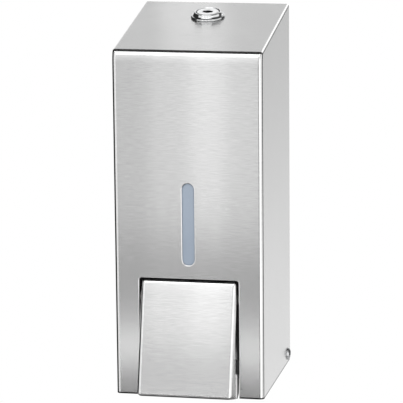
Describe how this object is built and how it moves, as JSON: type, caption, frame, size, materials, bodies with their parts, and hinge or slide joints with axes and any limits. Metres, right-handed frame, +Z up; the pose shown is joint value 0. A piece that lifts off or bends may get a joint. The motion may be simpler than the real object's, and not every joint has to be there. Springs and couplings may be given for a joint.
{
  "type": "wall-mounted soap dispenser",
  "caption": "Wall-mounted brushed steel soap dispenser with push flap, sight window and cam lock; the cover tips forward off a soap tank and piston pump.",
  "frame": {"origin": "centre of the wall screw pattern on the back plate's rear face", "axes": "+Z up, +Y into the wall, the front faces -Y, +X to the right as seen from the front"},
  "size_m": [0.1044, 0.1256, 0.2505],
  "materials": {
    "brushed_cover": "horizontally brushed stainless sheet",
    "bright_lock": "bright plated",
    "plated_steel": "zinc plated",
    "dark_steel": "black coated sheet",
    "milky_plastic": "translucent moulded",
    "white_plastic": "moulded",
    "black_plastic": "moulded",
    "black_rubber": "moulded",
    "silicone": "translucent moulded",
    "window": "translucent, cool grey"
  },
  "bodies": {
    "wall_unit": {"back_plate": "dark_steel", "tank_shelf": "dark_steel", "shelf_rivets": "plated_steel", "lock_keeper": "dark_steel", "keeper_rivets": "plated_steel", "pivot_rivets": "bright_lock", "pivot_washers": "white_plastic", "soap_tank": "milky_plastic", "neck_gasket": "black_rubber", "union_nut": "black_plastic", "pump_body": "black_plastic", "pump_gland": "black_plastic", "inlet_valve": "silicone", "outlet_valve": "silicone", "spout_nozzle": "black_plastic", "pump_spring": "plated_steel"},
    "pump_plunger": {"plunger": "white_plastic", "piston_ring": "black_rubber", "push_pad": "black_rubber"},
    "filler_lid": {"tank_lid": "white_plastic", "lid_seal": "silicone"},
    "cover_unit": {"cover": "brushed_cover", "sight_window": "window", "lock_housing": "bright_lock", "lock_nut": "plated_steel", "flap_bushes": "white_plastic"},
    "lock_core": {"lock_plug": "bright_lock", "lock_cam": "plated_steel", "cam_screw": "plated_steel"},
    "flap_unit": {"push_flap": "brushed_cover", "hinge_pins": "plated_steel", "pin_clips": "plated_steel"}
  },
  "joints": [
    {"name": "cover_open", "type": "hinge", "parent": "wall_unit", "child": "cover_unit", "pos_m": [0, -0.0104, -0.1219], "axis": [1, 0, 0], "range_deg": [0, 90]},
    {"name": "lock_turn", "type": "hinge", "parent": "cover_unit", "child": "lock_core", "pos_m": [0, -0.0328, 0.11663], "axis": [0, -0.169, 0.9856], "range_deg": [0, 90]},
    {"name": "flap_press", "type": "hinge", "parent": "cover_unit", "child": "flap_unit", "pos_m": [0, -0.0995, -0.062], "axis": [1, 0, 0], "range_deg": [0, 15], "stiffness_Nm_per_rad": 0.6, "springref_deg": -8.59},
    {"name": "plunger_slide", "type": "slide", "parent": "wall_unit", "child": "pump_plunger", "axis": [0, 1, 0], "range_m": [0, 0.0084], "deforming": ["pump_spring"]},
    {"name": "lid_lift", "type": "slide", "parent": "wall_unit", "child": "filler_lid", "axis": [0, 0, 1], "range_m": [0, 0.01]}
  ],
  "couplings": [
    {"joint": "plunger_slide", "follows": "flap_press", "m_per_rad": 0.031866}
  ]
}
